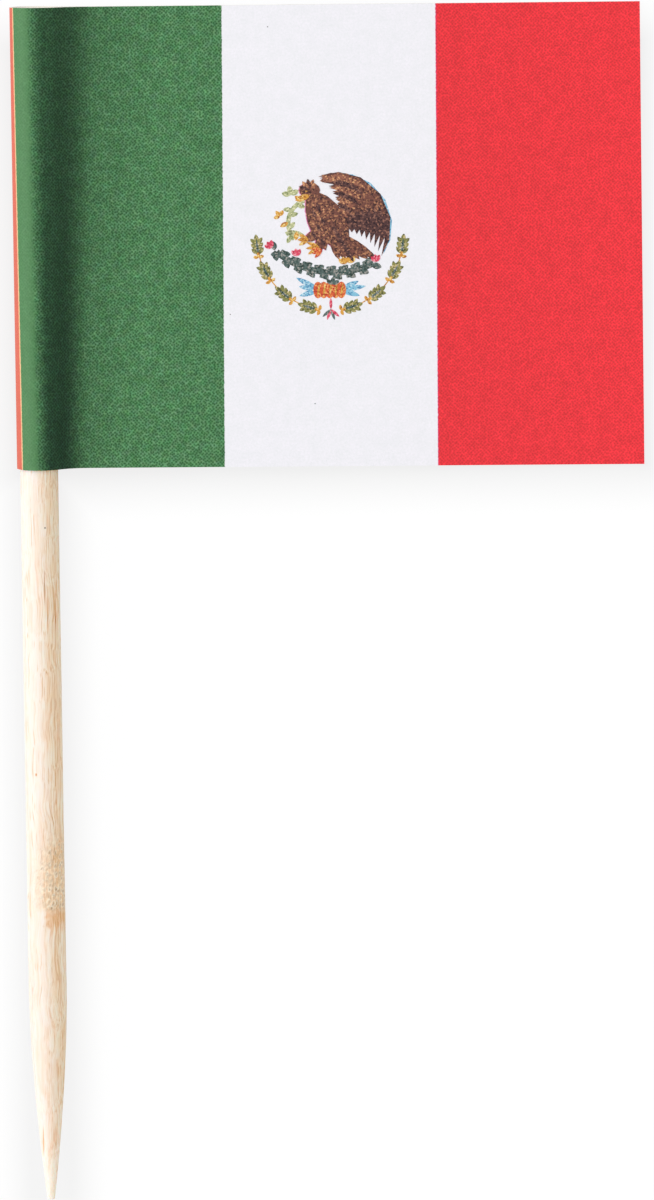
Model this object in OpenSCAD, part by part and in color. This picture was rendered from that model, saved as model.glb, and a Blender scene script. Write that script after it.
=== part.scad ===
// Flag toothpick: a round, pointed wooden pick with a printed paper flag
// folded round its head end and glued back to back. All sizes are in millimetres.
// It lies as it comes to rest: point towards -Y, flag towards +X, floor at z = 0,
// with the origin on the floor at the middle of the whole part.

/* [Pick] */
// Length of the wooden pick, from its sawn head to the end of its point
pick_len = 65; // [50:0.5:90]
// Diameter of the bare round shank
pick_d = 2.1; // [1.6:0.05:3]
// How much thinner the pick is at its head than at its shank
head_taper = 0.04; // [0.02:0.01:0.1]
// Chamfer round the sawn head
head_chamfer = 0.12; // [0.05:0.01:0.3]
// Length of the turned point
point_len = 11.5; // [6:0.5:18]
// Diameter of the blunt end of the point
point_d = 0.4; // [0.2:0.05:1]
// Fullness of the point: 1 is a straight cone, more is rounder
point_fullness = 1.7; // [1:0.1:2.6]

/* [Flag] */
// Width from the fold to the fly edge
flag_w = 34.4; // [28:0.2:45]
// Height of the flag, measured along the pick
flag_h = 25.1; // [18:0.1:32]
// Thickness of the paper
paper_t = 0.12; // [0.08:0.01:0.2]
// How far the paper stands past the head of the pick
head_inset = 0.2; // [0:0.05:1]
// Angle by which the trimmed top and fly edges are askew to the pick, in degrees
trim_skew = 0.15; // [0:0.05:1.5]
// Angle between the bottom edge and the top edge, in degrees
bottom_skew = 0.3; // [0:0.05:1.5]
// How far the trimming blade leaned towards the point as it cut, in degrees
blade_lean = 6.3; // [0:0.1:10]

/* [Fold] */
// Glue film between the pick and the paper round it
glue_gap = 0.03; // [0.01:0.01:0.1]
// How much wider than the wrap the paper bends as it leaves the pick
drape_slack = 0.9; // [0.3:0.1:2]
// How far past the side of the pick the two leaves meet
pinch_reach = 2; // [1.6:0.1:4]
// Height of the gap between the leaves where the glue begins to fill it
glue_fill = 0.05; // [0.02:0.01:0.1]

/* [Print] */
// Width of the green stripe beside the pick on the front, measured along the paper
green_w = 11.52; // [8:0.01:13]
// Width of the white stripe in the middle
white_w = 11.75; // [8:0.05:13]
// Width of the red stripe beside the pick on the back, measured along the paper
red_w = 11.75; // [8:0.05:13]
// Angle by which the print sits round the fold, towards the front
print_turn = 43; // [0:1:80]
// Angle by which the printed stripes are askew to the pick, in degrees
print_skew = 0.4; // [0:0.05:1.5]
// How far neighbouring fields of ink lap over each other
ink_lap = 0.03; // [0.01:0.01:0.06]

/* [Hidden] */
$fn = 96;

wood = "burlywood";
green = "seagreen";
white = "whitesmoke";
red = "crimson";

// The wrap round the pick
pick_r = pick_d / 2;
wrap_r = pick_r + glue_gap;
outer_r = wrap_r + paper_t;

// Each leaf leaves the top of the wrap on a wider bend, then turns the other way
// on a hollow bend and runs level into the seam. The two bends are tangent.
pinch_x = outer_r + pinch_reach;
bend_sum = (pinch_x * pinch_x + wrap_r * wrap_r) / (2 * wrap_r);
drape_r = outer_r + drape_slack;
hollow_r = bend_sum - drape_r;
bend_turn = asin(pinch_x / bend_sum);
bend_len = bend_sum * bend_turn * PI / 180;
seam_x = pinch_x - sqrt(glue_fill * (hollow_r + paper_t));

// Edges of the printed stripes, as distances from the pick's axis
front_wrap_len = outer_r * (90 - print_turn) * PI / 180;
back_wrap_len = outer_r * (90 + print_turn) * PI / 180;
green_edge = pinch_x + green_w - bend_len - front_wrap_len;
white_edge = green_edge + white_w;
back_red_edge = pinch_x + red_w - bend_len - back_wrap_len;
back_white_edge = back_red_edge + white_w;

// Resting attitude: the wrap's underside and the far corner of the fly edge touch the floor
fly_x = flag_w - outer_r;
fly_far = fly_x * cos(trim_skew);
rest_tilt = asin((outer_r + drape_slack) / norm([fly_far, paper_t + drape_slack]))
    - atan2(paper_t + drape_slack, fly_far);
axis_z = outer_r + drape_slack * (1 - cos(rest_tilt));

// Places of the pick in the frame
reach_x = fly_far * cos(rest_tilt) + paper_t * sin(rest_tilt);
axis_x = (outer_r - reach_x) / 2;
// The askew, leaning top cut leaves the far side of the wrap a little higher than the front
lean_slope = tan(blade_lean) / cos(trim_skew);
trim_rise = outer_r * norm([tan(trim_skew), lean_slope]) + paper_t * lean_slope;
top_y = (pick_len + head_inset + trim_rise) / 2;
flag_top_y = top_y - trim_rise;
head_y = flag_top_y - head_inset;
point_y = head_y - pick_len;

// The pick is a true cylinder on its bare shank, ends as one this far below the flag, and
// thins very slightly from there up to its head
shank_clear = 1;
head_len = flag_h - head_inset + shank_clear;
head_r = (pick_d - head_taper) / 2;
point_r = point_d / 2;
point_steps = 14;

// A length that passes right through the flag in any direction
through = 2 * (flag_w + flag_h);

// Radius of the point at a share t of its length, from its blunt end
function point_radius(t) = point_r + (pick_r - point_r) * (1 - pow(1 - t, point_fullness));

// Half of the pick's lengthwise section, from the point up to the head
module pick_profile() {
    polygon(concat(
        [[0, 0]],
        [for (i = [0:point_steps]) [point_radius(i / point_steps), point_len * i / point_steps]],
        [
            [pick_r, pick_len - head_len],
            [head_r, pick_len - head_chamfer],
            [head_r - head_chamfer, pick_len],
            [0, pick_len]
        ]
    ));
}

module toothpick() {
    color(wood)
        translate([axis_x, point_y, axis_z])
            rotate([-90, 0, 0])
                rotate_extrude()
                    pick_profile();
}

// Outline of the wrap as far as the seam, at a distance grow outside the paper's inner face
module wrap_outline(grow) {
    drape = drape_r - paper_t + grow;
    hollow = hollow_r + paper_t - grow;
    turn_x = drape * sin(bend_turn);
    turn_z = drape * cos(bend_turn) - drape_slack;

    // Tight half round, on the side away from the leaves
    intersection() {
        circle(r = wrap_r + grow);
        translate([-2 * outer_r, -2 * outer_r])
            square([2 * outer_r, 4 * outer_r]);
    }
    // Wider bends, where the leaves come away from the pick
    intersection() {
        translate([0, -drape_slack]) circle(r = drape);
        translate([0, drape_slack]) circle(r = drape);
        translate([0, -2 * outer_r]) square([turn_x, 4 * outer_r]);
    }
    // Hollow bends, down to the seam
    difference() {
        translate([turn_x, -turn_z]) square([pinch_x - turn_x, 2 * turn_z]);
        translate([pinch_x, paper_t + hollow_r]) circle(r = hollow);
        translate([pinch_x, -paper_t - hollow_r]) circle(r = hollow);
    }
}

// Cross-section of the folded sheet: the wrap, the two leaves and the glued seam
module sheet_profile() {
    difference() {
        union() {
            wrap_outline(paper_t);
            translate([pinch_x, -paper_t]) square([flag_w, 2 * paper_t]);
        }
        intersection() {
            wrap_outline(0);
            translate([-2 * outer_r, -2 * outer_r]) square([2 * outer_r + seam_x, 4 * outer_r]);
        }
    }
}

// All that one straight cut through a place leaves: it faces turn degrees round from +Y
module kept_by_cut(place, turn, lean = 0) {
    translate(place)
        rotate([lean, 0, turn])
            translate([-through, -2 * through, -through])
                cube(2 * through);
}

// The sheet folded and glued, then cut to size with three strokes, slightly askew to the pick
module trimmed_sheet() {
    intersection() {
        rotate([90, 0, 0])
            linear_extrude(height = through, center = true)
                sheet_profile();
        kept_by_cut([0, flag_top_y, paper_t], -trim_skew, blade_lean);
        kept_by_cut([0, flag_top_y - flag_h, paper_t], 180 - trim_skew - bottom_skew, -blade_lean);
        kept_by_cut([fly_far, flag_top_y - fly_x * sin(trim_skew), 0], -90 - trim_skew);
    }
}

// The side of the sheet that one copy of the print covers: side 1 is the front, -1 the back
module print_side(side) {
    fold_line = [-through * cos(print_turn), through * sin(print_turn)];
    rotate([90, 0, 0])
        linear_extrude(height = through, center = true)
            translate([0, -side * ink_lap])
                polygon([[0, 0], [through, 0], [through, side * through],
                         [-through, side * through], fold_line]);
}

// One printed stripe between two distances from the pick's axis, askew as the sheet was printed
// before it was folded, so that its skew on the back mirrors its skew on the front
module stripe(side, from_x, to_x, tint) {
    color(tint)
        intersection() {
            trimmed_sheet();
            print_side(side);
            translate([0, flag_top_y, 0])
                rotate([0, 0, -side * print_skew])
                    translate([from_x - ink_lap, -through, -through])
                        cube([to_x - from_x + 2 * ink_lap, 2 * through, 2 * through]);
        }
}

module paper_flag() {
    translate([axis_x, 0, axis_z])
        rotate([0, rest_tilt, 0]) {
            stripe(1, -through, green_edge, green);
            stripe(1, green_edge, white_edge, white);
            stripe(1, white_edge, through, red);
            stripe(-1, -through, back_red_edge, red);
            stripe(-1, back_red_edge, back_white_edge, white);
            stripe(-1, back_white_edge, through, green);
        }
}

toothpick();
paper_flag();
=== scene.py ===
# %% [markdown]
# # A paper flag on a bamboo pick
# A party pick is two things: a thin round stick with a point, and a strip of printed paper that is
# folded round its head and glued back to back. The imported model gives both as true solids.
# This lesson makes the same two pieces again with the grain, the print and the wear that the eye
# expects, and looks down on them where they lie on a white table.

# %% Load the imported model
import math

import bmesh
import bpy
from mathutils import Matrix, Vector, noise


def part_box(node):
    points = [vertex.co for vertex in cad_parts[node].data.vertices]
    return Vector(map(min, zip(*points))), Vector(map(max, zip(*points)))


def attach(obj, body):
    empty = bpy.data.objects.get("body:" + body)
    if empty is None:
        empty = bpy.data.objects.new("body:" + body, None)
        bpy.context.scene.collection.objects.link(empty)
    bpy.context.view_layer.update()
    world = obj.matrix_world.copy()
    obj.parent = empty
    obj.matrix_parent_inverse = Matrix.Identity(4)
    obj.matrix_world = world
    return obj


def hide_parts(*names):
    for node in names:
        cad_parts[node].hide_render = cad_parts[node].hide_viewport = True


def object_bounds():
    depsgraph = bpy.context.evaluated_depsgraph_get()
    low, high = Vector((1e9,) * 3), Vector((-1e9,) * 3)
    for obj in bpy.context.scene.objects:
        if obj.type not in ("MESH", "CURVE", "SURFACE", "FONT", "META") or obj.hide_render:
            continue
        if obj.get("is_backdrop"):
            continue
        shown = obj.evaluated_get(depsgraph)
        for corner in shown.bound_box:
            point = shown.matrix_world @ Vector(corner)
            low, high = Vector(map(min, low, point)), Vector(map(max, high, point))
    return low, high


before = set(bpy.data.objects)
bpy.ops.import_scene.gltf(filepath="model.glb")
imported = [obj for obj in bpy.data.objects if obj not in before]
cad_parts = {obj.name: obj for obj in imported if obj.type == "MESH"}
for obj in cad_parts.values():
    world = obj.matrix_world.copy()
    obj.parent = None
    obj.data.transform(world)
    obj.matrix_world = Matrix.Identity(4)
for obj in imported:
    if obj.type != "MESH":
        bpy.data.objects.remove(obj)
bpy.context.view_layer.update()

# %% [markdown]
# ## Sizes
# Places are worked out from the boxes of the two solids, so that the new pieces land where the
# solids are. What a box can't tell, such as how thick paper is, is a real size in millimetres.

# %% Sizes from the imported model
MM = 0.001

pick_low, pick_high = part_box("toothpick")
flag_low, flag_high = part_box("paper_flag")
AXIS = (pick_low + pick_high) / 2
AXIS.y = 0
PICK_R = (pick_high.z - pick_low.z) / 2
POINT_Y = pick_low.y
HEAD_Y = pick_high.y
WRAP_R = AXIS.x - flag_low.x
print("pick radius %.3f mm, wrap radius %.3f mm" % (PICK_R / MM, WRAP_R / MM))

# %% Real sizes of the sheet
PAPER = 0.12 * MM
FLAG_W = 34.4 * MM
FLAG_H = 25.1 * MM
# The sheet was trimmed a little askew to the stick, by a blade that leaned
TRIM_SKEW = math.radians(0.15)
BOTTOM_SKEW = math.radians(0.3)
BLADE_LEAN = math.radians(6.3)
PINCH_X = WRAP_R + 2 * MM
DRAPE_SLACK = 0.9 * MM

FLY_X = FLAG_W - WRAP_R
FLY_FAR = FLY_X * math.cos(TRIM_SKEW)
REST_TILT = math.asin((WRAP_R + DRAPE_SLACK) / math.hypot(FLY_FAR, PAPER + DRAPE_SLACK))
REST_TILT -= math.atan2(PAPER + DRAPE_SLACK, FLY_FAR)
LEAN_SLOPE = math.tan(BLADE_LEAN) / math.cos(TRIM_SKEW)
FLAG_TOP_Y = flag_high.y - WRAP_R * math.hypot(math.tan(TRIM_SKEW), LEAN_SLOPE) - PAPER * LEAN_SLOPE
print("the leaf leans %.2f degrees to rest on its fly edge" % math.degrees(REST_TILT))

# The sheet is made level round the pick's axis, and this matrix lays it in place
LAY_DOWN = Matrix.Translation(AXIS) @ Matrix.Rotation(REST_TILT, 4, "Y")

# %% [markdown]
# ## Camera
# The picture looks almost straight down from 30 cm, over a place a little above the middle, and is
# turned a degree in the frame. Place, turn and lens come from a fit of the part's edges and
# corners to where they are in the photograph.

# %% Camera
FRAME_SIZE = (654, 1200)
FOCAL_PIXELS = 5468.9
CAMERA_PLACE = Vector((0, 10.723, 300)) * MM
CAMERA_TURN = [math.radians(degrees) for degrees in (-2.0567, 0.0412, -0.8511)]

camera = bpy.data.objects.new("camera", bpy.data.cameras.new("camera"))
bpy.context.scene.collection.objects.link(camera)
camera.location = CAMERA_PLACE
camera.rotation_euler = CAMERA_TURN
camera.data.lens = camera.data.sensor_width * FOCAL_PIXELS / max(FRAME_SIZE)
camera.data.clip_start = 0.01
camera.data.clip_end = 10
bpy.context.scene.camera = camera
print("lens %.0f mm" % camera.data.lens)

# %% [markdown]
# ## Helpers for finishes
# A printer names colours the way a screen shows them, as sRGB hex, while a shader wants linear
# light. One function converts them. Another adds a node with its settings and its links, which
# keeps each material below short enough to read.

# %% Helpers for materials
def srgb(code):
    """An sRGB colour such as #f2f1f6 as linear red, green, blue and alpha."""
    parts = [int(code[i:i + 2], 16) / 255 for i in (1, 3, 5)]
    linear = [c / 12.92 if c <= 0.04045 else ((c + 0.055) / 1.055) ** 2.4 for c in parts]
    return (*linear, 1.0)


def add(tree, kind, settings=None, inputs=None):
    """Adds one node with its settings, and its inputs as values or as links from sockets."""
    node = tree.nodes.new(kind)
    for name, value in (settings or {}).items():
        setattr(node, name, value)
    for key, value in (inputs or {}).items():
        if isinstance(value, bpy.types.NodeSocket):
            tree.links.new(value, node.inputs[key])
        else:
            node.inputs[key].default_value = value
    return node


def start_material(name, roughness, ior, specular):
    """A material whose uniform values sit on the shader's own sockets."""
    material = bpy.data.materials.new(name)
    material.use_nodes = True
    shader = material.node_tree.nodes["Principled BSDF"]
    shader.inputs["Roughness"].default_value = roughness
    shader.inputs["IOR"].default_value = ior
    shader.inputs["Specular IOR Level"].default_value = specular
    return material, material.node_tree, shader


def set_stops(ramp, stops):
    """Gives a colour ramp its stops, each a place from 0 to 1 and a linear colour."""
    while len(ramp.elements) > 1:
        ramp.elements.remove(ramp.elements[-1])
    ramp.elements[0].position, ramp.elements[0].color = stops[0]
    for place, colour in stops[1:]:
        ramp.elements.new(place).color = colour


# %% [markdown]
# ## Helpers for pieces
# Both pieces start as a chain of vertices. Extruding its last vertex makes a straight run, and
# spinning it round a centre makes an arc, so any section can be grown as a maker would draw it.

# %% Helpers for meshes
SHARP = math.radians(40)


def grow_to(bm, tip, place, cuts=1):
    """Extrudes the chain's last vertex in equal steps to a place, and returns the new last one."""
    start = tip.co.copy()
    for i in range(1, cuts + 1):
        tip = bmesh.ops.extrude_vert_indiv(bm, verts=[tip])["verts"][0]
        tip.co = start.lerp(Vector(place), i / cuts)
    return tip


def grow_round(bm, tip, centre, angle, steps, axis=(0, 1, 0)):
    """Spins the chain's last vertex round a centre, and returns the new last one."""
    made = bmesh.ops.spin(bm, geom=[tip], cent=centre, axis=axis, angle=angle, steps=steps)
    return [item for item in made["geom_last"] if isinstance(item, bmesh.types.BMVert)][0]


def make_piece(name, bm, materials):
    """Makes a piece of a bmesh, smooth except at its sharp edges, and lets it ride on the part."""
    for edge in bm.edges:
        edge.smooth = edge.calc_face_angle(0) < SHARP
    mesh = bpy.data.meshes.new(name)
    bm.to_mesh(mesh)
    bm.free()
    for material in materials:
        mesh.materials.append(material)
    for face in mesh.polygons:
        face.use_smooth = True
    piece = bpy.data.objects.new(name, mesh)
    bpy.context.scene.collection.objects.link(piece)
    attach(piece, "root")
    print("%s: %d faces" % (name, len(mesh.polygons)))
    return piece


def smooth_step(low, high, value):
    """0 below low, 1 above high, and a smooth ramp between."""
    t = min(1.0, max(0.0, (value - low) / (high - low)))
    return t * t * (3 - 2 * t)


# %% [markdown]
# ## The stick
# Such sticks are split from bamboo, rounded in a die and pointed on a belt. A cone on a cylinder
# would have the outline, and nothing to show how it was made. So the outline is spun with rings
# close enough that the fibres and the pits of a joint in the stem can then be cut into it.

# %% Outline of the stick
POINT_LEN = 11.5 * MM
POINT_END_R = 0.2 * MM
POINT_FULLNESS = 1.7
HEAD_CHAMFER = 0.12 * MM
HEAD_R = PICK_R - 0.02 * MM
# The stick is a plain cylinder up to here and thins a little under the paper
BARE_END_Y = flag_low.y - 0.4 * MM
# A joint of the stem crosses the stick between these distances from its point
JOINT_FROM = 15.8 * MM
JOINT_TO = 20.4 * MM
RING_STEP = 0.16 * MM
FINE_STEP = 0.05 * MM
SIDES = 112


def stick_radius(from_point):
    """Radius of the stick at a distance from its blunt point."""
    if from_point < POINT_LEN:
        return POINT_END_R + (PICK_R - POINT_END_R) * (1 - (1 - from_point / POINT_LEN) ** POINT_FULLNESS)
    under_paper = max(0.0, (POINT_Y + from_point - BARE_END_Y) / (HEAD_Y - BARE_END_Y))
    return PICK_R + (HEAD_R - PICK_R) * under_paper


stick = bmesh.new()
tip = stick.verts.new((0, POINT_Y, 0))
tip = grow_to(stick, tip, (POINT_END_R * 0.9, POINT_Y, 0), 4)
along = POINT_END_R * 0.1
while POINT_Y + along < HEAD_Y - HEAD_CHAMFER:
    tip = grow_to(stick, tip, (stick_radius(along), POINT_Y + along, 0))
    along += FINE_STEP if JOINT_FROM < along < JOINT_TO else RING_STEP
tip = grow_to(stick, tip, (HEAD_R, HEAD_Y - HEAD_CHAMFER, 0))
tip = grow_to(stick, tip, (HEAD_R - HEAD_CHAMFER, HEAD_Y, 0), 3)
tip = grow_to(stick, tip, (0, HEAD_Y, 0), 6)
bmesh.ops.spin(stick, geom=stick.verts[:] + stick.edges[:], cent=(0, 0, 0), axis=(0, 1, 0),
               angle=2 * math.pi, steps=SIDES, use_merge=True)
bmesh.ops.remove_doubles(stick, verts=stick.verts[:], dist=0.001 * MM)
bmesh.ops.recalc_face_normals(stick, faces=stick.faces[:])
print("stick spun with %d rings" % (len(stick.faces) // SIDES))

# %% [markdown]
# Split wood is never quite round. Three things are let into it, and nothing stands out past the
# turned size: slow flats, fine grooves between the fibres, and the pits of the joint, where the
# fibres cross. They come from noise that is read at each vertex and drawn out along the stick, so
# the pattern closes round it and is the same on every run.

# %% Fibres and pits cut into the stick
FLATS_DEEP = 0.02 * MM
GROOVES_DEEP = 0.01 * MM
GROOVE_WIDTH = 0.13 * MM
GRAIN_STRETCH = 30
PIT_DEEP = 0.012 * MM
PIT_SPACING = 0.17 * MM
PIT_STRETCH = 1.8
PIT_SLANT = math.radians(-25)
# The pits face up and a little towards the flag's side, and reach further up the stick there
PITS_TURN = math.radians(15)
JOINT_SLANT = 0.8
JOINT_FADE = 2.2 * MM


def pit_share(place, from_point):
    """How strongly the pits show here, from 0 to 1."""
    away = abs(math.atan2(place.x, place.z) - PITS_TURN)
    sideways = 1 - smooth_step(math.radians(35), math.radians(70), away)
    fade_in = smooth_step(JOINT_FROM, JOINT_FROM + 0.4 * MM, from_point)
    above = from_point - JOINT_SLANT * place.x
    fade_out = 1 - smooth_step(JOINT_TO - JOINT_FADE, JOINT_TO, above)
    return sideways * fade_in * fade_out


deepest = 0
for v in stick.verts:
    outward = Vector((v.co.x, 0, v.co.z))
    if outward.length < 0.05 * MM:
        continue
    slow = Vector((v.co.x, v.co.y / 9, v.co.z)) / MM
    fine = Vector((v.co.x, v.co.y / GRAIN_STRETCH, v.co.z)) / GROOVE_WIDTH
    depth = FLATS_DEEP * (0.5 + 0.5 * noise.noise(slow))
    depth += GROOVES_DEEP * (0.5 + 0.5 * noise.noise(fine))
    share = pit_share(v.co, v.co.y - POINT_Y)
    if share > 0:
        turned = Matrix.Rotation(-PIT_SLANT, 3, "Z") @ (v.co + AXIS)
        nearest = noise.voronoi(Vector((turned.x, turned.y / PIT_STRETCH, turned.z)) / PIT_SPACING)[0][0]
        depth += PIT_DEEP * share * (1 - smooth_step(0.1, 0.42, nearest))
    depth *= min(1.0, outward.length / PICK_R)
    v.co -= outward.normalized() * depth
    deepest = max(deepest, depth)
print("deepest cut %.3f mm" % (deepest / MM))

# %% [markdown]
# ## Finish of the bamboo
# Sanded bamboo is a pale cream, and its harder fibres show as thin tan lines that run with the
# stick. Light enters a stick this thin and comes out on the far side, warmer than it went in, so
# the side in shade glows. That is subsurface scattering, with a reach of half a millimetre in red
# and less in blue. The surface is matt, because the sanded fibres scatter what they reflect.

# %% Bamboo material
bamboo, tree, shader = start_material("sanded_bamboo", roughness=0.65, ior=1.5, specular=0.35)
shader.inputs["Subsurface Scale"].default_value = MM
shader.inputs["Subsurface Radius"].default_value = (0.5, 0.4, 0.32)

# Places on the stick in millimetres: along it from the point, and out from its axis
place = add(tree, "ShaderNodeTexCoord").outputs["Object"]
local = add(tree, "ShaderNodeMapping", {"vector_type": "POINT"}, {
    "Vector": place, "Scale": (1 / MM, 1 / MM, 1 / MM),
    "Location": (-AXIS.x / MM, -POINT_Y / MM, -AXIS.z / MM)}).outputs[0]
split = add(tree, "ShaderNodeSeparateXYZ", {}, {0: local})
from_axis = split.outputs["X"]
from_point = split.outputs["Y"]

# Slow drift of the fibres from side to side, so that no streak is ruled straight
drift = add(tree, "ShaderNodeTexNoise", {}, {
    "Vector": local, "Scale": 0.45, "Detail": 1.5}).outputs["Color"]
bent = add(tree, "ShaderNodeVectorMath", {"operation": "MULTIPLY_ADD"}, {
    0: drift, 1: (0.5, 0, 0.5), 2: local}).outputs[0]
# Single fibres, drawn 0.07 mm wide so that they show, and a few millimetres long
fibre_place = add(tree, "ShaderNodeMapping", {}, {0: bent, "Scale": (15, 0.26, 15)}).outputs[0]
fibres = add(tree, "ShaderNodeTexNoise", {}, {
    0: fibre_place, "Scale": 1.0, "Detail": 3.0, "Roughness": 0.7}).outputs[0]
# Bands of softer and harder fibre a third of a millimetre wide
band_place = add(tree, "ShaderNodeMapping", {}, {0: bent, "Scale": (3.2, 0.09, 3.2)}).outputs[0]
bands = add(tree, "ShaderNodeTexNoise", {}, {0: band_place, "Scale": 1.0, "Detail": 2.0}).outputs[0]

# The side away from the lamp is tan and the lit side cream, with a ragged line between them: partly heartwood
# against bark, partly painted shade
side = add(tree, "ShaderNodeMath", {"operation": "MULTIPLY_ADD"}, {
    0: bands, 1: 0.7, 2: from_axis}).outputs[0]
heart_and_shaded_side = add(tree, "ShaderNodeMapRange", {}, {
    "Value": side, "From Min": 0.16, "From Max": 1.0}).outputs[0]
cream = add(tree, "ShaderNodeValToRGB", {}, {0: fibres})
set_stops(cream.color_ramp, [(0.42, srgb("#fbeee6")), (0.64, srgb("#f7e6d8"))])
tan = add(tree, "ShaderNodeValToRGB", {}, {0: fibres})
set_stops(tan.color_ramp, [(0.4, srgb("#feefdd")), (0.5, srgb("#fbe4c9")), (0.62, srgb("#e4bd8e"))])
grown = add(tree, "ShaderNodeMix", {"data_type": "RGBA"}, {
    0: heart_and_shaded_side, 6: cream.outputs[0], 7: tan.outputs[0]}).outputs[2]
band_share = add(tree, "ShaderNodeMapRange", {}, {
    "Value": bands, "From Min": 0.5, "From Max": 0.72, "To Max": 0.4}).outputs[0]
banded = add(tree, "ShaderNodeMix", {"data_type": "RGBA", "blend_type": "MULTIPLY"}, {
    0: band_share, 6: grown, 7: srgb("#f3dcc0")}).outputs[2]

# A few vessels are stained tan, in thin streaks a few millimetres long
streak_place = add(tree, "ShaderNodeMapping", {}, {0: bent, "Scale": (13, 0.22, 13)}).outputs[0]
streaks = add(tree, "ShaderNodeTexNoise", {}, {0: streak_place, "Scale": 1.0, "Detail": 0.5}).outputs[0]
# On the ground point they are cut across and show less
streak_strength = add(tree, "ShaderNodeMapRange", {}, {
    "Value": from_point, "From Min": 4.0, "From Max": 13.0, "To Min": 0.15, "To Max": 0.7}).outputs[0]
streak = add(tree, "ShaderNodeMapRange", {"interpolation_type": "SMOOTHSTEP"}, {
    "Value": streaks, "From Min": 0.6, "From Max": 0.78, "To Max": streak_strength}).outputs[0]
streaked = add(tree, "ShaderNodeMix", {"data_type": "RGBA", "blend_type": "MULTIPLY"}, {
    0: streak, 6: banded, 7: srgb("#e4caa4")}).outputs[2]
print("plain wood of %d nodes" % len(tree.nodes))

# %% [markdown]
# The joint of the stem is where the fibres cross. It is a little yellower, its upper edge slants,
# and it is full of pits. A pit is a cell of a Voronoi pattern: brown in the middle, where the end of
# a fibre shows, with a pale rim round it that is a painted highlight of its polished edge.

# %% Joint of the stem
# How much less light enters the joint than plain wood
JOINT_DENSE = 0.45
slant = add(tree, "ShaderNodeMath", {"operation": "MULTIPLY_ADD"}, {
    0: from_axis, 1: -JOINT_SLANT, 2: from_point}).outputs[0]
joint_in = add(tree, "ShaderNodeMapRange", {"interpolation_type": "SMOOTHSTEP"}, {
    "Value": from_point, "From Min": JOINT_FROM / MM, "From Max": JOINT_FROM / MM + 0.35}).outputs[0]
joint_out = add(tree, "ShaderNodeMapRange", {"interpolation_type": "SMOOTHSTEP"}, {
    "Value": slant, "From Min": JOINT_TO / MM, "From Max": (JOINT_TO - JOINT_FADE) / MM}).outputs[0]
joint_side = add(tree, "ShaderNodeMapRange", {"interpolation_type": "SMOOTHSTEP"}, {
    "Value": from_axis, "From Min": -0.95, "From Max": 0.25}).outputs[0]
along_joint = add(tree, "ShaderNodeMath", {"operation": "MULTIPLY"}, {0: joint_in, 1: joint_out}).outputs[0]
joint = add(tree, "ShaderNodeMath", {"operation": "MULTIPLY"}, {0: along_joint, 1: joint_side}).outputs[0]
yellowed = add(tree, "ShaderNodeMix", {"data_type": "RGBA", "blend_type": "MULTIPLY"}, {
    0: joint, 6: streaked, 7: srgb("#fbf1df")}).outputs[2]

# Crossing fibres push the pits out of their round form
pushed = add(tree, "ShaderNodeTexNoise", {}, {0: place, "Scale": 5 / MM, "Detail": 1.0}).outputs["Color"]
pit_bent = add(tree, "ShaderNodeVectorMath", {"operation": "MULTIPLY_ADD"}, {
    0: pushed, 1: (0.12 * MM, 0.12 * MM, 0.12 * MM), 2: place}).outputs[0]
pit_place = add(tree, "ShaderNodeMapping", {"vector_type": "TEXTURE"}, {
    0: pit_bent, "Rotation": (0, 0, PIT_SLANT),
    "Scale": (PIT_SPACING, PIT_STRETCH * PIT_SPACING, PIT_SPACING)}).outputs[0]
pit_cells = add(tree, "ShaderNodeTexVoronoi", {}, {0: pit_place, "Scale": 1.0})
# Not every pit still holds its fibre
pit_own = add(tree, "ShaderNodeSeparateColor", {}, {0: pit_cells.outputs["Color"]}).outputs[0]
pit_full = add(tree, "ShaderNodeMapRange", {}, {
    "Value": pit_own, "From Min": 0.05, "From Max": 0.85}).outputs[0]
pit_here = add(tree, "ShaderNodeMath", {"operation": "MULTIPLY"}, {0: pit_full, 1: joint}).outputs[0]
# Painted highlight: a pale rim round each pit
rim_highlight = add(tree, "ShaderNodeMapRange", {}, {
    "Value": pit_cells.outputs["Distance"], "From Min": 0.7, "From Max": 0.46, "To Max": 0.8}).outputs[0]
rim_highlight_here = add(tree, "ShaderNodeMath", {"operation": "MULTIPLY"}, {0: rim_highlight, 1: pit_here}).outputs[0]
rim_highlighted = add(tree, "ShaderNodeMix", {"data_type": "RGBA"}, {
    0: rim_highlight_here, 6: yellowed, 7: srgb("#fff7e6")}).outputs[2]
pit_dark = add(tree, "ShaderNodeMapRange", {}, {
    "Value": pit_cells.outputs["Distance"], "From Min": 0.5, "From Max": 0.2, "To Max": 0.75}).outputs[0]
dark_here = add(tree, "ShaderNodeMath", {"operation": "MULTIPLY"}, {0: pit_dark, 1: pit_here}).outputs[0]
pitted = add(tree, "ShaderNodeMix", {"data_type": "RGBA"}, {
    0: dark_here, 6: rim_highlighted, 7: srgb("#c08a45")}).outputs[2]
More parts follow.
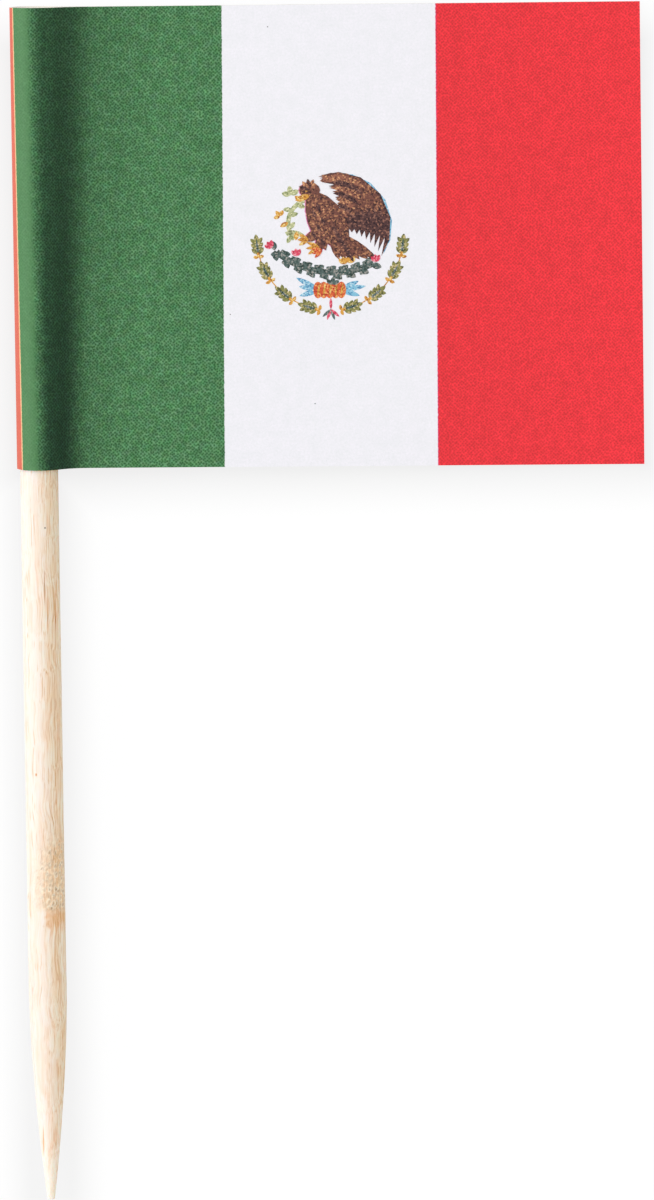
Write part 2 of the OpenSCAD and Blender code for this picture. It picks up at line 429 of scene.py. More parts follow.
# Between the pits the uneven surface is painted as lighter and darker patches, and fibres on end let less
# light through
relief = add(tree, "ShaderNodeTexNoise", {}, {
    0: pit_place, "Scale": 1.2, "Detail": 2.0, "Roughness": 0.6}).outputs[0]
painted_relief_light = add(tree, "ShaderNodeMapRange", {}, {
    "Value": relief, "From Min": 0.32, "From Max": 0.68, "To Min": 0.85, "To Max": 1.1}).outputs[0]
painted_relief_here = add(tree, "ShaderNodeMix", {"data_type": "FLOAT"}, {
    0: joint, 2: 1.0, 3: painted_relief_light}).outputs[0]
crossed = add(tree, "ShaderNodeVectorMath", {"operation": "SCALE"}, {
    0: pitted, "Scale": painted_relief_here}).outputs[0]
open_wood = add(tree, "ShaderNodeMath", {"operation": "MULTIPLY_ADD"}, {
    0: joint, 1: -JOINT_DENSE, 2: 1.0}).outputs[0]
tree.links.new(open_wood, shader.inputs["Subsurface Weight"])
print("joint from %.1f to %.1f mm from the point" % (JOINT_FROM / MM, JOINT_TO / MM))

# %% [markdown]
# Just below the joint a tan patch is left where a sheath grew: cut off at the top and left, and
# running out in streaks below. A few more marks are single stained vessels and one dark fleck.

# %% Tan patch and single marks
PATCH_TOP = 15.8
PATCH_LEFT = 0.02
blotch = add(tree, "ShaderNodeTexNoise", {}, {0: local, "Scale": 3.0, "Detail": 3.0}).outputs[0]
patch_side = add(tree, "ShaderNodeMath", {"operation": "MULTIPLY_ADD"}, {
    0: blotch, 1: 1.1, 2: from_axis}).outputs[0]
patch_left = add(tree, "ShaderNodeMapRange", {"interpolation_type": "SMOOTHSTEP"}, {
    "Value": patch_side, "From Min": PATCH_LEFT + 0.4, "From Max": PATCH_LEFT + 0.8}).outputs[0]
patch_brim = add(tree, "ShaderNodeMath", {"operation": "MULTIPLY_ADD"}, {
    0: blotch, 1: 1.2, 2: from_point}).outputs[0]
patch_top = add(tree, "ShaderNodeMapRange", {"interpolation_type": "SMOOTHSTEP"}, {
    "Value": patch_brim, "From Min": PATCH_TOP + 1.05, "From Max": PATCH_TOP + 0.35}).outputs[0]
patch_foot = add(tree, "ShaderNodeMath", {"operation": "MULTIPLY_ADD"}, {
    0: fibres, 1: 2.6, 2: from_point}).outputs[0]
patch_end = add(tree, "ShaderNodeMapRange", {"interpolation_type": "SMOOTHSTEP"}, {
    "Value": patch_foot, "From Min": PATCH_TOP + 0.1, "From Max": PATCH_TOP + 0.9}).outputs[0]
patch_above = add(tree, "ShaderNodeMath", {"operation": "MULTIPLY"}, {0: patch_left, 1: patch_top}).outputs[0]
patch = add(tree, "ShaderNodeMath", {"operation": "MULTIPLY"}, {0: patch_above, 1: patch_end}).outputs[0]
marked = add(tree, "ShaderNodeMix", {"data_type": "RGBA", "blend_type": "MULTIPLY"}, {
    0: patch, 6: crossed, 7: srgb("#f4dfc4")}).outputs[2]

# Each mark: from the axis, from the point, half its width, half its length, and its stain
MARKS = (
    (0.32, 36.86, 0.045, 0.06, "#8a7048"),
    (0.24, 33.6, 0.03, 1.1, "#d3b391"),
    (0.38, 32.2, 0.03, 1.2, "#e3bf96"),
    (0.79, 32.3, 0.035, 1.2, "#e3bf96"),
    (-0.39, 23.4, 0.06, 0.1, "#e8c090"),
    (-0.35, 3.25, 0.045, 0.9, "#edcba4"),
)
for across_at, along_at, half_width, half_length, stain in MARKS:
    away = add(tree, "ShaderNodeVectorMath", {"operation": "SUBTRACT"}, {
        0: local, 1: (across_at, along_at, 0)}).outputs[0]
    shape = add(tree, "ShaderNodeVectorMath", {"operation": "MULTIPLY"}, {
        0: away, 1: (1 / half_width, 1 / half_length, 0)}).outputs[0]
    far = add(tree, "ShaderNodeVectorMath", {"operation": "LENGTH"}, {0: shape}).outputs["Value"]
    on_mark = add(tree, "ShaderNodeMapRange", {"interpolation_type": "SMOOTHSTEP"}, {
        "Value": far, "From Min": 1.2, "From Max": 0.4}).outputs[0]
    marked = add(tree, "ShaderNodeMix", {"data_type": "RGBA", "blend_type": "MULTIPLY"}, {
        0: on_mark, 6: marked, 7: srgb(stain)}).outputs[2]
tree.links.new(marked, shader.inputs["Base Color"])

grain_bump = add(tree, "ShaderNodeBump", {}, {
    "Height": fibres, "Strength": 0.3, "Distance": 0.02 * MM}).outputs[0]
tree.links.new(grain_bump, shader.inputs["Normal"])
print("%s of %d nodes, with %d marks" % (bamboo.name, len(tree.nodes), len(MARKS)))

# %% Stick piece
bmesh.ops.translate(stick, verts=stick.verts[:], vec=AXIS)
pick_piece = make_piece("bamboo_pick", stick, [bamboo])
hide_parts("toothpick")

# %% [markdown]
# ## The folded sheet
# The flag is one strip of paper. Seen from the point, its path runs in along the front leaf, up a
# hollow bend, over the stick on a wider bend, tightly round the far side, and back the same way.
# Cloth simulation could find that path, but paper that a machine folds follows plain arcs, so the
# chain is grown along arcs that meet without a corner. It is grown twice, because the fold grips
# harder at the bottom of this flag than at the top, and the sheet is stretched between the two.

# %% Path of the paper round the stick
SPARE = 1 * MM
LEAF_CUTS = 58
BEND_STEPS = 16
ROUND_STEPS = 48
INNER_R = WRAP_R - PAPER


def paper_path(slack, pinch_x):
    """A chain of the paper's outer face, from the front leaf's fly edge to the back leaf's."""
    bm = bmesh.new()
    radii = (pinch_x ** 2 + INNER_R ** 2) / (2 * INNER_R)
    hollow_r = radii - WRAP_R - slack
    turn = math.asin(pinch_x / radii)
    tip = bm.verts.new((FLY_X + SPARE, 0, PAPER))
    tip = grow_to(bm, tip, (pinch_x, 0, PAPER), LEAF_CUTS)
    tip = grow_round(bm, tip, (pinch_x, 0, PAPER + hollow_r), turn, BEND_STEPS)
    tip = grow_round(bm, tip, (0, 0, -slack), -turn, BEND_STEPS)
    tip = grow_round(bm, tip, (0, 0, 0), -math.pi, ROUND_STEPS)
    tip = grow_round(bm, tip, (0, 0, slack), -turn, BEND_STEPS)
    tip = grow_round(bm, tip, (pinch_x, 0, -PAPER - hollow_r), turn, BEND_STEPS)
    grow_to(bm, tip, (FLY_X + SPARE, 0, -PAPER), LEAF_CUTS)
    bm.verts.ensure_lookup_table()
    return bm


def places_across(bm):
    """How far each point lies from the stick's axis, measured along the paper of the front leaf."""
    places = [FLY_X + SPARE]
    for a, b in zip(bm.verts[:], bm.verts[1:]):
        places.append(places[-1] - (b.co - a.co).length)
    return places


TOP_GRIP = (DRAPE_SLACK + 0.15 * MM, PINCH_X)
BOTTOM_GRIP = (DRAPE_SLACK - 0.45 * MM, PINCH_X - 0.45 * MM)
sheet = paper_path(*TOP_GRIP)
gripped = paper_path(*BOTTOM_GRIP)
top_places = places_across(sheet)
bottom_places = places_across(gripped)
gripped_at = [v.co.copy() for v in gripped.verts]
gripped.free()
# How much paper goes round the stick, from axis to axis
AROUND = FLY_X + SPARE - top_places[-1] - 2 * (FLY_X + SPARE)
print("path of %d points, %.2f mm of it round the stick" % (len(top_places), AROUND / MM))

# %% [markdown]
# Now the chain is swept down the stick row by row. Each row is moved a little from the loose
# section towards the gripped one. The print has to follow the paper and not the room, so each
# vertex also keeps how far across the paper it lies. Three planes then cut the sheet, as a
# guillotine trims the glued flag: top, bottom and fly edge, a little askew to the stick.

# %% Sweep
ROWS = 56
row_step = (FLAG_H + 4 * SPARE) / ROWS
column = sheet.verts.layers.int.new("column")
across = sheet.verts.layers.float.new("across")
for i, v in enumerate(sheet.verts):
    v[column] = i
bmesh.ops.translate(sheet, verts=sheet.verts[:], vec=(0, FLAG_TOP_Y + 2 * SPARE, 0))
row = sheet.edges[:]
for i in range(ROWS):
    swept = bmesh.ops.extrude_edge_only(sheet, edges=row)["geom"]
    row = [item for item in swept if isinstance(item, bmesh.types.BMEdge)]
    moved = [item for item in swept if isinstance(item, bmesh.types.BMVert)]
    bmesh.ops.translate(sheet, verts=moved, vec=(0, -row_step, 0))

for v in sheet.verts:
    grip = smooth_step(0, FLAG_H, FLAG_TOP_Y - v.co.y)
    there = gripped_at[v[column]]
    v.co = v.co.lerp(Vector((there.x, v.co.y, there.z)), grip)
    v[across] = (top_places[v[column]] * (1 - grip) + bottom_places[v[column]] * grip) / MM
print("swept %d rows" % ROWS)


# %% Trim
def trim(bm, at, turn, lean=0.0):
    """Cuts away what lies past a plane through a place, which faces turn round from +Y."""
    facing = Matrix.Rotation(turn, 3, "Z") @ Matrix.Rotation(lean, 3, "X") @ Vector((0, 1, 0))
    whole = bm.verts[:] + bm.edges[:] + bm.faces[:]
    bmesh.ops.bisect_plane(bm, geom=whole, clear_outer=True, dist=0.0005 * MM,
                           plane_co=at, plane_no=facing)


trim(sheet, (0, FLAG_TOP_Y, PAPER), -TRIM_SKEW, BLADE_LEAN)
trim(sheet, (0, FLAG_TOP_Y - FLAG_H, PAPER), math.pi - TRIM_SKEW - BOTTOM_SKEW, -BLADE_LEAN)
trim(sheet, (FLY_FAR, FLAG_TOP_Y - FLY_X * math.sin(TRIM_SKEW), 0), -math.pi / 2 - TRIM_SKEW)
print("trimmed sheet of %d faces" % len(sheet.faces))

# %% [markdown]
# The sheet was printed before it was folded, and the machine missed by a little. The stripes lean
# towards the stick as they go down, and the print's own fold line sits well round to the front,
# more so at the bottom, so a sliver of the back's red shows beside the green.

# %% Lean of the print, and places down the paper
PRINT_SKEW = math.radians(0.455)
# Where the print's fold line sits round the stick, up from its far side, at the top and bottom
FOLD_TURN_TOP = math.radians(34.4)
FOLD_TURN_BOTTOM = math.radians(43.1)

wrap_top = LEAF_CUTS + 2 * BEND_STEPS
FOLD_AT = (top_places[wrap_top] - WRAP_R * (math.pi / 2 - FOLD_TURN_TOP)) / MM
FOLD_LEAN = WRAP_R * (FOLD_TURN_BOTTOM - FOLD_TURN_TOP) / FLAG_H
down = sheet.verts.layers.float.new("down")
for v in sheet.verts:
    depth = (FLAG_TOP_Y - v.co.y) / MM
    v[down] = depth
    onto_leaf = min(1.0, abs(v[across] - FOLD_AT) / (PINCH_X / MM - FOLD_AT))
    v[across] += depth * (math.tan(PRINT_SKEW) * onto_leaf - FOLD_LEAN * (1 - onto_leaf))
print("the print's fold line lies %.2f mm round from the axis" % FOLD_AT)

# %% [markdown]
# A glued leaf is never dead flat. It gets a wave three hundredths of a millimetre high, shared by
# both plies so that they stay together, and none near the fly edge, which lies on the table. Only
# then does the sheet get its thickness, inwards, with a hair of glue left between the plies.

# %% Wave and thickness
WAVE_HIGH = 0.03 * MM
WAVE_LONG = 7 * MM
GLUE_LINE = 0.004 * MM


def leaf_wave(x, y):
    """How far the glued leaf stands above or below its own plane at a place."""
    on_leaf = smooth_step(PINCH_X, PINCH_X + 6 * MM, x)
    off_table = 1 - smooth_step(FLY_X - 6 * MM, FLY_X, x)
    return WAVE_HIGH * noise.noise(Vector((x, y, 0)) / WAVE_LONG) * on_leaf * off_table


for v in sheet.verts:
    v.co.z += leaf_wave(v.co.x, v.co.y)

printed = sheet.faces[:]
leftmost = min(printed, key=lambda face: face.calc_center_median().x)
if leftmost.normal.x > 0:
    bmesh.ops.reverse_faces(sheet, faces=printed)
bmesh.ops.solidify(sheet, geom=printed, thickness=PAPER - GLUE_LINE / 2)
for face in sheet.faces:
    face.material_index = 1
for face in printed:
    face.material_index = 0
open_edges = sum(len(edge.link_faces) != 2 for edge in sheet.edges)
print("sheet of %d faces, %d open edges, %.1f cubic mm" % (
    len(sheet.faces), open_edges, sheet.calc_volume(signed=True) / MM ** 3))

# %% [markdown]
# ## The print
# The flag is offset printed on coated paper: thin inks over white, laid down through a screen of
# fine dots. The eye sees flat stripes, and close to them a weave of diagonal dots, lighter and
# darker patches where the ink took unevenly, and slivers of pure ink where the plates don't quite
# meet. Each stripe is laid over the one before it from its own edge on, by its place across the
# paper. A second chain of mixes says how strongly the screen shows: fully in the green, less in
# the red, and not at all in the bare white.

# %% Stripes of the print, each from its edge on, in millimetres across the paper
GREEN = srgb("#4d8053")
WHITE = srgb("#f4f3f8")
RED = srgb("#ea373f")
MAGENTA = srgb("#e0386c")
YELLOW = srgb("#f0c193")
# The folding wheel has worn the inks thin on the fold
WORN_RED = srgb("#d96e5b")
WORN_GREEN = srgb("#568757")

GREEN_EDGE = 10.35
WHITE_EDGE = 22.015
BACK_RED_EDGE = 8.73
BACK_WHITE_EDGE = 20.48
# The yellow plate was printed a little to the right of the magenta one
SLIVER = 0.05
FOLD_SLIVER = 0.09
WORN = 1.5
BACK = -AROUND / MM

stripes = [
    (BACK - BACK_WHITE_EDGE, WHITE, 0.0),
    (BACK - BACK_RED_EDGE, MAGENTA, 0.3),
    (BACK - BACK_RED_EDGE + SLIVER, RED, 0.3),
    (FOLD_AT - WORN, WORN_RED, 0.2),
    (FOLD_AT - FOLD_SLIVER, YELLOW, 0.0),
    (FOLD_AT, GREEN, 1.0),
    (GREEN_EDGE, WHITE, 0.0),
    (WHITE_EDGE, MAGENTA, 0.3),
    (WHITE_EDGE + SLIVER, RED, 0.3),
]

# %% Ink by place across the paper
BLUR = 0.02
RAGGED = 0.05
print_ink, tree, shader = start_material("offset_print_on_coated_paper", roughness=0.5, ior=1.5, specular=0.2)
u = add(tree, "ShaderNodeAttribute", {"attribute_name": "across"}).outputs["Fac"]
v_down = add(tree, "ShaderNodeAttribute", {"attribute_name": "down"}).outputs["Fac"]
flat = add(tree, "ShaderNodeCombineXYZ", {}, {0: u, 1: v_down}).outputs[0]
# The edge of a stripe is as ragged as its dots
ragged = add(tree, "ShaderNodeTexNoise", {"noise_dimensions": "2D"}, {
    0: flat, "Scale": 7.0, "Detail": 1.0}).outputs[0]
u_ragged = add(tree, "ShaderNodeMath", {"operation": "MULTIPLY_ADD"}, {
    0: ragged, 1: RAGGED, 2: u}).outputs[0]

# The wheel's mark ends softly a little past the top of the fold
rub_ragged = add(tree, "ShaderNodeTexNoise", {"noise_dimensions": "2D"}, {
    0: flat, "Scale": 2.5, "Detail": 2.0}).outputs[0]
rub_place = add(tree, "ShaderNodeMath", {"operation": "MULTIPLY_ADD"}, {
    0: rub_ragged, 1: 0.4, 2: u}).outputs[0]
unrubbed_front = add(tree, "ShaderNodeMapRange", {"interpolation_type": "SMOOTHSTEP"}, {
    "Value": rub_place, "From Min": -0.35, "From Max": 0.0, "To Min": 0.2}).outputs[0]
green_here = add(tree, "ShaderNodeMix", {"data_type": "RGBA"}, {
    0: unrubbed_front, 6: WORN_GREEN, 7: GREEN}).outputs[2]

ink, dotted = GREEN, 1.0
for edge, colour, dots_show in stripes:
    middle = edge + RAGGED / 2
    past = add(tree, "ShaderNodeMapRange", {}, {
        "Value": u_ragged, "From Min": middle - BLUR, "From Max": middle + BLUR}).outputs[0]
    ink_here = green_here if colour == GREEN else colour
    ink = add(tree, "ShaderNodeMix", {"data_type": "RGBA"}, {0: past, 6: ink, 7: ink_here}).outputs[2]
    dotted = add(tree, "ShaderNodeMix", {"data_type": "FLOAT"}, {0: past, 2: dotted, 3: dots_show}).outputs[0]
# The red gets a little lighter towards the fly edge
lighter_to_fly_edge = add(tree, "ShaderNodeMapRange", {}, {
    "Value": u, "From Min": WHITE_EDGE, "From Max": FLAG_W / MM, "To Min": 0.97, "To Max": 1.05}).outputs[0]
ink = add(tree, "ShaderNodeVectorMath", {"operation": "SCALE"}, {0: ink, "Scale": lighter_to_fly_edge}).outputs[0]
print("%d stripes laid over green" % len(stripes))

# %% [markdown]
# The screen is drawn with Voronoi cells, which give round dots a little out of line, as dot gain
# makes them. Over it lie two sizes of uneven ink, and flecks of the single inks where one plate
# took and another didn't. On the fold the folding wheel has rubbed the ink almost smooth.

# %% Screen and uneven ink
# The real screen is 0.129 mm from dot to dot. It is drawn a little coarser, so that it shows
SCREEN = 0.142
screen_place = add(tree, "ShaderNodeMapping", {}, {
    0: flat, "Rotation": (0, 0, math.radians(45)), "Scale": (1 / SCREEN, 1 / SCREEN, 1)}).outputs[0]
dots = add(tree, "ShaderNodeTexVoronoi", {"voronoi_dimensions": "2D"}, {
    0: screen_place, "Scale": 1.0, "Randomness": 0.5}).outputs["Distance"]
dot_light = add(tree, "ShaderNodeMapRange", {}, {
    "Value": dots, "From Min": 0.12, "From Max": 0.62, "To Min": 0.52, "To Max": 1.37}).outputs[0]
unrubbed_back = add(tree, "ShaderNodeMath", {"operation": "LESS_THAN"}, {
    0: u, 1: FOLD_AT - WORN}).outputs[0]
unrubbed = add(tree, "ShaderNodeMath", {"operation": "MAXIMUM"}, {
    0: unrubbed_front, 1: unrubbed_back}).outputs[0]
screen_share = add(tree, "ShaderNodeMath", {"operation": "MULTIPLY"}, {0: unrubbed, 1: dotted}).outputs[0]
screen = add(tree, "ShaderNodeMix", {"data_type": "FLOAT"}, {
    0: screen_share, 2: 1.0, 3: dot_light}).outputs[0]

# Uneven ink: fine grain an eighth of a millimetre across, and patches 0.7 mm across
grain = add(tree, "ShaderNodeTexNoise", {"noise_dimensions": "2D"}, {
    0: flat, "Scale": 8.0, "Detail": 3.0, "Roughness": 0.75}).outputs[0]
grain_light = add(tree, "ShaderNodeMapRange", {}, {
    "Value": grain, "From Min": 0.25, "From Max": 0.75, "To Min": 0.66, "To Max": 1.34}).outputs[0]
patches = add(tree, "ShaderNodeTexNoise", {"noise_dimensions": "2D"}, {
    0: flat, "Scale": 1.4, "Detail": 3.0, "Roughness": 0.7}).outputs[0]
patch_light = add(tree, "ShaderNodeMapRange", {}, {
    "Value": patches, "From Min": 0.3, "From Max": 0.7, "To Min": 0.86, "To Max": 1.14}).outputs[0]
uneven = add(tree, "ShaderNodeMath", {"operation": "MULTIPLY"}, {0: grain_light, 1: patch_light}).outputs[0]
uneven_share = add(tree, "ShaderNodeMapRange", {}, {
    "Value": screen_share, "To Min": 0.1, "To Max": 1.0}).outputs[0]
uneven_here = add(tree, "ShaderNodeMix", {"data_type": "FLOAT"}, {
    0: uneven_share, 2: 1.0, 3: uneven}).outputs[0]
light = add(tree, "ShaderNodeMath", {"operation": "MULTIPLY"}, {0: screen, 1: uneven_here}).outputs[0]
# Thinner ink is paler as well as lighter, so red and blue change more than green
RED_POWER = 1.45
BLUE_POWER = 1.36
light_red = add(tree, "ShaderNodeMath", {"operation": "POWER"}, {0: light, 1: RED_POWER}).outputs[0]
light_blue = add(tree, "ShaderNodeMath", {"operation": "POWER"}, {0: light, 1: BLUE_POWER}).outputs[0]
tint = add(tree, "ShaderNodeCombineXYZ", {}, {0: light_red, 1: light, 2: light_blue}).outputs[0]
inked = add(tree, "ShaderNodeVectorMath", {"operation": "MULTIPLY"}, {0: ink, 1: tint}).outputs[0]

# Flecks where one plate's ink took more than another's, teal to olive, up to half a millimetre wide
fleck_place = add(tree, "ShaderNodeVectorMath", {"operation": "ADD"}, {0: flat, 1: (40, 40, 0)}).outputs[0]
flecks = add(tree, "ShaderNodeTexNoise", {"noise_dimensions": "2D"}, {
    0: fleck_place, "Scale": 2.4, "Detail": 3.0, "Roughness": 0.7}).outputs["Color"]
fleck_share = add(tree, "ShaderNodeMath", {"operation": "MULTIPLY"}, {0: screen_share, 1: 0.26}).outputs[0]
flecked = add(tree, "ShaderNodeMix", {"data_type": "RGBA", "blend_type": "OVERLAY"}, {
    0: fleck_share, 6: inked, 7: flecks}).outputs[2]
print("screen drawn %.3f mm from dot to dot" % SCREEN)

# %% [markdown]
# The band beside the stick, where the paper slopes down behind the fold, is painted shade. It is
# widest at the top, and tighter and darker where the fold grips. Past it a painted shadow of the
# wrap keeps the ink a little darker for a few millimetres.

# %% Painted shade beside the fold
SHADE_RAGGED = 0.4
# How far from the stick's axis the painted shade and the painted shadow of the wrap reach, at the top and the
# bottom
VALLEY_SHADE_TOP = 4.15
VALLEY_SHADE_BOTTOM = 2.9
WRAP_SHADOW_TOP = 7.5
WRAP_SHADOW_BOTTOM = 5.0
shade_ragged = add(tree, "ShaderNodeTexNoise", {"noise_dimensions": "2D"}, {
    0: flat, "Scale": 1.6, "Detail": 3.0}).outputs[0]
painted_shade_place = add(tree, "ShaderNodeMath", {"operation": "MULTIPLY_ADD"}, {
    0: shade_ragged, 1: SHADE_RAGGED, 2: u}).outputs[0]
valley_shade_in = add(tree, "ShaderNodeMapRange", {"interpolation_type": "SMOOTHSTEP"}, {
    "Value": painted_shade_place, "From Min": SHADE_RAGGED / 2 - 0.65, "From Max": SHADE_RAGGED / 2 + 0.4}).outputs[0]
valley_shade_end = add(tree, "ShaderNodeMapRange", {}, {
    "Value": v_down, "From Max": FLAG_H / MM, "To Min": VALLEY_SHADE_TOP, "To Max": VALLEY_SHADE_BOTTOM}).outputs[0]
valley_shade_out = add(tree, "ShaderNodeMapRange", {"interpolation_type": "SMOOTHSTEP"}, {
    "Value": painted_shade_place, "From Min": valley_shade_end, "From Max": 1.6}).outputs[0]
valley_shade = add(tree, "ShaderNodeMath", {"operation": "MULTIPLY"}, {0: valley_shade_in, 1: valley_shade_out}).outputs[0]
valley_shade_deep = add(tree, "ShaderNodeMapRange", {}, {
    "Value": v_down, "From Max": FLAG_H / MM, "To Min": 0.77, "To Max": 1.0}).outputs[0]
valley_shade_share = add(tree, "ShaderNodeMath", {"operation": "MULTIPLY"}, {0: valley_shade, 1: valley_shade_deep}).outputs[0]
# Painted shade: the ink in the band is made darker and colder
valley_shaded = add(tree, "ShaderNodeMix", {"data_type": "RGBA", "blend_type": "MULTIPLY"}, {
    0: valley_shade_share, 6: flecked, 7: srgb("#728887")}).outputs[2]

# Painted shadow of the wrap: the ink a little darker for a few millimetres past the band
wrap_shadow_end = add(tree, "ShaderNodeMapRange", {}, {
    "Value": v_down, "From Max": FLAG_H / MM, "To Min": WRAP_SHADOW_TOP, "To Max": WRAP_SHADOW_BOTTOM}).outputs[0]
wrap_shadow_out = add(tree, "ShaderNodeMapRange", {}, {
    "Value": painted_shade_place, "From Min": wrap_shadow_end, "From Max": 2.0}).outputs[0]
wrap_shadow_in = add(tree, "ShaderNodeMapRange", {"interpolation_type": "SMOOTHSTEP"}, {
    "Value": u, "From Min": 0.5, "From Max": 2.5}).outputs[0]
wrap_shadow = add(tree, "ShaderNodeMath", {"operation": "MULTIPLY"}, {0: wrap_shadow_out, 1: wrap_shadow_in}).outputs[0]
printed_colour = add(tree, "ShaderNodeMix", {"data_type": "RGBA", "blend_type": "MULTIPLY"}, {
    0: wrap_shadow, 6: valley_shaded, 7: srgb("#d6d8d8")}).outputs[2]
tree.links.new(printed_colour, shader.inputs["Base Color"])

# Bare paper is duller than ink, and both have a tooth that is just felt
ink_rough = add(tree, "ShaderNodeMapRange", {}, {
    "Value": dotted, "To Min": 0.7, "To Max": 0.5}).outputs[0]
tree.links.new(ink_rough, shader.inputs["Roughness"])
tooth = add(tree, "ShaderNodeTexNoise", {"noise_dimensions": "2D"}, {
    0: flat, "Scale": 6.0, "Detail": 4.0}).outputs[0]
tooth_bump = add(tree, "ShaderNodeBump", {}, {
    "Height": tooth, "Strength": 0.25, "Distance": 0.01 * MM}).outputs[0]
tree.links.new(tooth_bump, shader.inputs["Normal"])
print("%s of %d nodes" % (print_ink.name, len(tree.nodes)))

# %% [markdown]
# The cut edges and the glued inner faces show the paper itself: bleached pulp, a little warmer
# and much duller than the coated outside, with the fibres of the pulp in it.

# %% Paper core material
core, tree, shader = start_material("bleached_pulp", roughness=0.85, ior=1.45, specular=0.2)
place = add(tree, "ShaderNodeTexCoord").outputs["Object"]
pulp = add(tree, "ShaderNodeTexNoise", {}, {0: place, "Scale": 9 / MM, "Detail": 2.0}).outputs[0]
pulp_tone = add(tree, "ShaderNodeValToRGB", {}, {0: pulp})
set_stops(pulp_tone.color_ramp, [(0.3, srgb("#e4e1da")), (0.7, srgb("#f6f4ef"))])
tree.links.new(pulp_tone.outputs[0], shader.inputs["Base Color"])
print("%s of %d nodes" % (core.name, len(tree.nodes)))

# %% Sheet piece
bmesh.ops.transform(sheet, matrix=LAY_DOWN, verts=sheet.verts[:])
sheet_piece = make_piece("folded_print", sheet, [print_ink, core])
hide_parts("paper_flag")

# %% [markdown]
# ## The emblem
# In the white stripe the flag carries a small traditional emblem, nine millimetres wide, printed
# in many inks: a bird with a raised wing, a sprig, a garland with a knotted ribbon, and half a
# wreath. At this size it is a cluster of tiny strokes. Each is laid here as a closed plate of ink
# that stands at most three hundredths of a millimetre above the paper. Most are stretched from one
# of two small shapes.

# %% Shapes of a stroke of ink
SINK = 0.01
LIFT = 0.004
LEVEL = 0.0004


def close_plate(bm):
    """Gives a flat shape a thickness of 1, downwards from the top face at 0."""
    made = bmesh.ops.extrude_face_region(bm, geom=bm.faces[:])["geom"]
    lowered = [item for item in made if isinstance(item, bmesh.types.BMVert)]
    bmesh.ops.translate(bm, verts=lowered, vec=(0, 0, -1))
    bmesh.ops.recalc_face_normals(bm, faces=bm.faces[:])


def keep_mesh(name, bm):
    """Keeps a shape as a mesh that can be laid many times."""
    mesh = bpy.data.meshes.new(name)
    bm.to_mesh(mesh)
    bm.free()
    return mesh


# A leaf 1 long and 1 wide is two arcs that meet in points
LEAF_RISE = 0.25
leaf_r = (0.25 + LEAF_RISE ** 2) / (2 * LEAF_RISE)
leaf_turn = 2 * math.asin(0.5 / leaf_r)
leaf_bm = bmesh.new()
tip = leaf_bm.verts.new((0, 0, 0))
tip = grow_round(leaf_bm, tip, (0.5, LEAF_RISE - leaf_r, 0), -leaf_turn, 6, (0, 0, 1))
grow_round(leaf_bm, tip, (0.5, leaf_r - LEAF_RISE, 0), -leaf_turn, 6, (0, 0, 1))
bmesh.ops.remove_doubles(leaf_bm, verts=leaf_bm.verts[:], dist=0.001)
bmesh.ops.contextual_create(leaf_bm, geom=leaf_bm.edges[:])
bmesh.ops.scale(leaf_bm, verts=leaf_bm.verts[:], vec=(1, 0.5 / LEAF_RISE, 1))
close_plate(leaf_bm)
leaf_shape = keep_mesh("leaf_shape", leaf_bm)

disc_bm = bmesh.new()
bmesh.ops.create_circle(disc_bm, cap_ends=True, segments=12, radius=0.5,
                        matrix=Matrix.Translation((0.5, 0, 0)))
close_plate(disc_bm)
disc_shape = keep_mesh("disc_shape", disc_bm)
print("leaf of %d faces, disc of %d faces" % (len(leaf_shape.polygons), len(disc_shape.polygons)))

# %% [markdown]
# Eleven inks are enough. Print this small shows its grain more than its colour, so each ink is a mix
# of a base, a darker and a brighter tone, in cells a little finer than the screen.

# %% Inks of the emblem
INKS = {
    "dark_brown_ink": ("#5b3f3d", "#36262a", "#96695a"),
    "brown_ink": ("#794e44", "#483130", "#b8815f"),
    "tan_ink": ("#9e6854", "#603e3a", "#dca476"),
    "gold_ink": ("#dba04a", "#a8682e", "#f3d68c"),
    "orange_ink": ("#da643e", "#b33d34", "#f2ab66"),
    "leaf_green_ink": ("#8b8b52", "#5c5c3b", "#ccba86"),
    "dark_green_ink": ("#5a6c68", "#34443f", "#a4a09a"),
    "sprig_ink": ("#bcc092", "#848f60", "#e4e0b6"),
    "red_ink": ("#de5068", "#b8344a", "#f29aa6"),
    "light_blue_ink": ("#86c0da", "#568cb4", "#c4e2ee"),
    "pink_ink": ("#ea94bc", "#dc78a8", "#f6c4d8"),
}
INK_NAMES = list(INKS)
# Size of a cell of ink, where the dots of several plates fall close together
INK_GRAIN = 0.08


def make_ink(name, base, dark, bright):
    """Ink that took unevenly: a base tone with darker and brighter cells as small as its dots."""
    material, tree, shader = start_material(name, roughness=0.55, ior=1.5, specular=0.15)
    place = add(tree, "ShaderNodeTexCoord").outputs["Object"]
    cells = add(tree, "ShaderNodeTexVoronoi", {}, {0: place, "Scale": 1 / (INK_GRAIN * MM)}).outputs["Color"]
    pick = add(tree, "ShaderNodeSeparateColor", {}, {0: cells}).outputs[0]
    tone = add(tree, "ShaderNodeValToRGB", {}, {0: pick})
    set_stops(tone.color_ramp, [
        (0.1, srgb(dark)), (0.4, srgb(base)), (0.7, srgb(base)), (0.92, srgb(bright))])
    tree.links.new(tone.outputs[0], shader.inputs["Base Color"])
    return material


ink_materials = [make_ink(name, *tones) for name, tones in INKS.items()]
print("%d inks" % len(ink_materials))


# %% [markdown]
# A stroke is laid from a start to an end, both in millimetres from the emblem's middle. Strokes
# that cross lie on different levels, so that no two faces share a plane.

